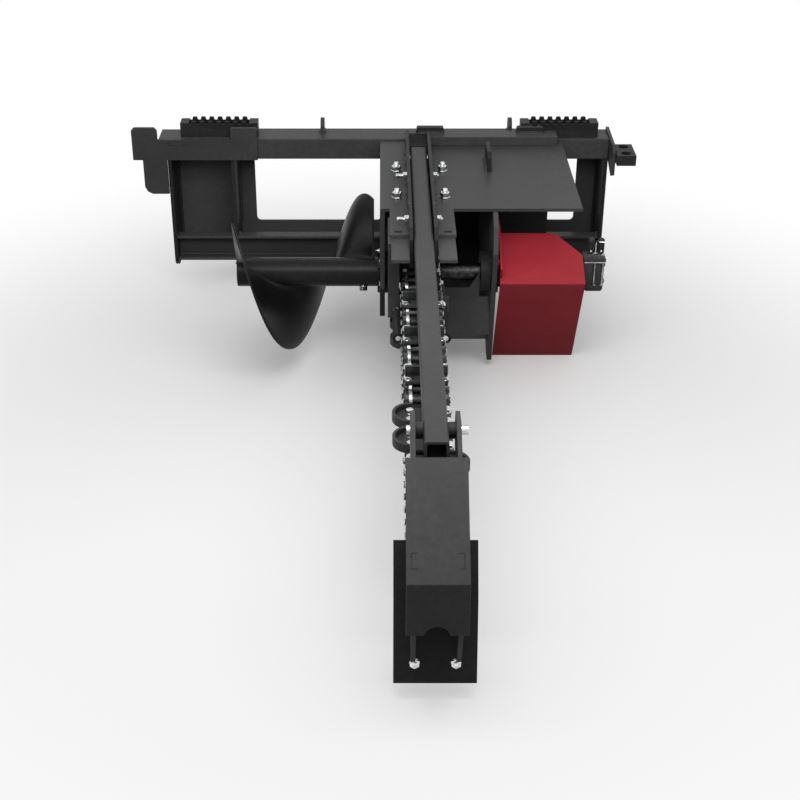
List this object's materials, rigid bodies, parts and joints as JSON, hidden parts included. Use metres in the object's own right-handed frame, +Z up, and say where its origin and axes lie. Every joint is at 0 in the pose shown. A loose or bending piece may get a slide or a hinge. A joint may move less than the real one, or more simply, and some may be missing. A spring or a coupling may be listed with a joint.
{
  "type": "trencher attachment",
  "caption": "Chain trencher attachment for a skid-steer loader, with a side-shift mounting frame, a digging chain on a boom, a spoil auger and a crumber bar with a shoe.",
  "frame": {"origin": "centre of the flat face that meets the loader's quick-attach plate", "axes": "+X to the machine's right as seen from the loader's seat, +Y back towards the loader, +Z up"},
  "size_m": [1.554, 2.2505, 0.5656],
  "materials": {
    "black_paint": "black powder coat, satin",
    "dark_paint": "black paint, satin, slightly worn",
    "red_paint": "dark red paint, satin",
    "zinc": "zinc-plated steel",
    "steel": "bare rolled steel",
    "guide_plastic": "natural nylon"
  },
  "bodies": {
    "frame": {"back_panel": "black_paint", "top_rail": "black_paint", "lower_rail": "black_paint", "side_plate_left": "black_paint", "side_plate_right": "black_paint", "pocket_rib_left": "black_paint", "pocket_rib_right": "black_paint", "quick_attach_hook": "black_paint", "quick_attach_flange": "black_paint", "step_left": "dark_paint", "step_right": "dark_paint", "lug_plate_left": "black_paint", "end_plate_right": "black_paint", "coupler_holder": "dark_paint", "lifting_eyes": "black_paint"},
    "carriage": {"carriage_plate": "dark_paint", "saddle": "black_paint", "stop_pads": "dark_paint", "lower_guides": "guide_plastic", "deck_plate": "black_paint", "deck_lug": "dark_paint", "housing_plate_left": "dark_paint", "housing_plate_right": "dark_paint", "boom_ear_left": "black_paint", "boom_ear_right": "black_paint", "boom_cover_left": "black_paint", "boom_cover_right": "black_paint", "clamp_bolts": "zinc", "ear_bolts": "zinc", "chute_plate": "dark_paint", "boom_bar": "dark_paint", "wear_strips": "steel", "nose_fork": "dark_paint", "nose_axle": "steel", "tension_tubes": "dark_paint", "tension_rods": "zinc", "chain_inner_links": "steel", "chain_outer_links": "steel", "chain_rollers": "zinc", "cutters": "dark_paint", "cutter_bolts": "zinc", "bearing_left": "dark_paint", "bearing_right": "dark_paint", "bearing_bolts": "zinc", "hydraulic_motor": "dark_paint", "motor_ports": "zinc", "motor_guard": "red_paint", "crumber_pin": "zinc"},
    "headshaft": {"head_shaft": "steel", "drive_sprocket": "steel", "auger_pipe": "black_paint", "auger_flight": "black_paint", "auger_bolt": "zinc"},
    "nose": {"nose_roller": "steel"},
    "crumber": {"crumber_tube": "black_paint", "shoe_bracket": "black_paint", "shoe_plate": "dark_paint", "shoe_pin": "zinc", "pin_spacers": "dark_paint", "shoe_bolts": "zinc"}
  },
  "joints": [
    {"name": "side_shift", "type": "slide", "parent": "frame", "child": "carriage", "axis": [1, 0, 0], "range_m": [-0.34, 0.13]},
    {"name": "headshaft_spin", "type": "hinge", "parent": "carriage", "child": "headshaft", "pos_m": [0.086, -0.679, 0.021], "axis": [1, 0, 0], "continuous": true, "deforming": ["chain_inner_links", "chain_outer_links", "chain_rollers"]},
    {"name": "nose_spin", "type": "hinge", "parent": "carriage", "child": "nose", "pos_m": [0.086, -1.8982, 0.021], "axis": [1, 0, 0], "continuous": true},
    {"name": "crumber_lift", "type": "hinge", "parent": "carriage", "child": "crumber", "pos_m": [0.092, -0.289, 0.22], "axis": [1, 0, 0], "range_deg": [-75, 0]}
  ],
  "couplings": [
    {"joint": "nose_spin", "follows": "headshaft_spin", "ratio": 1}
  ]
}
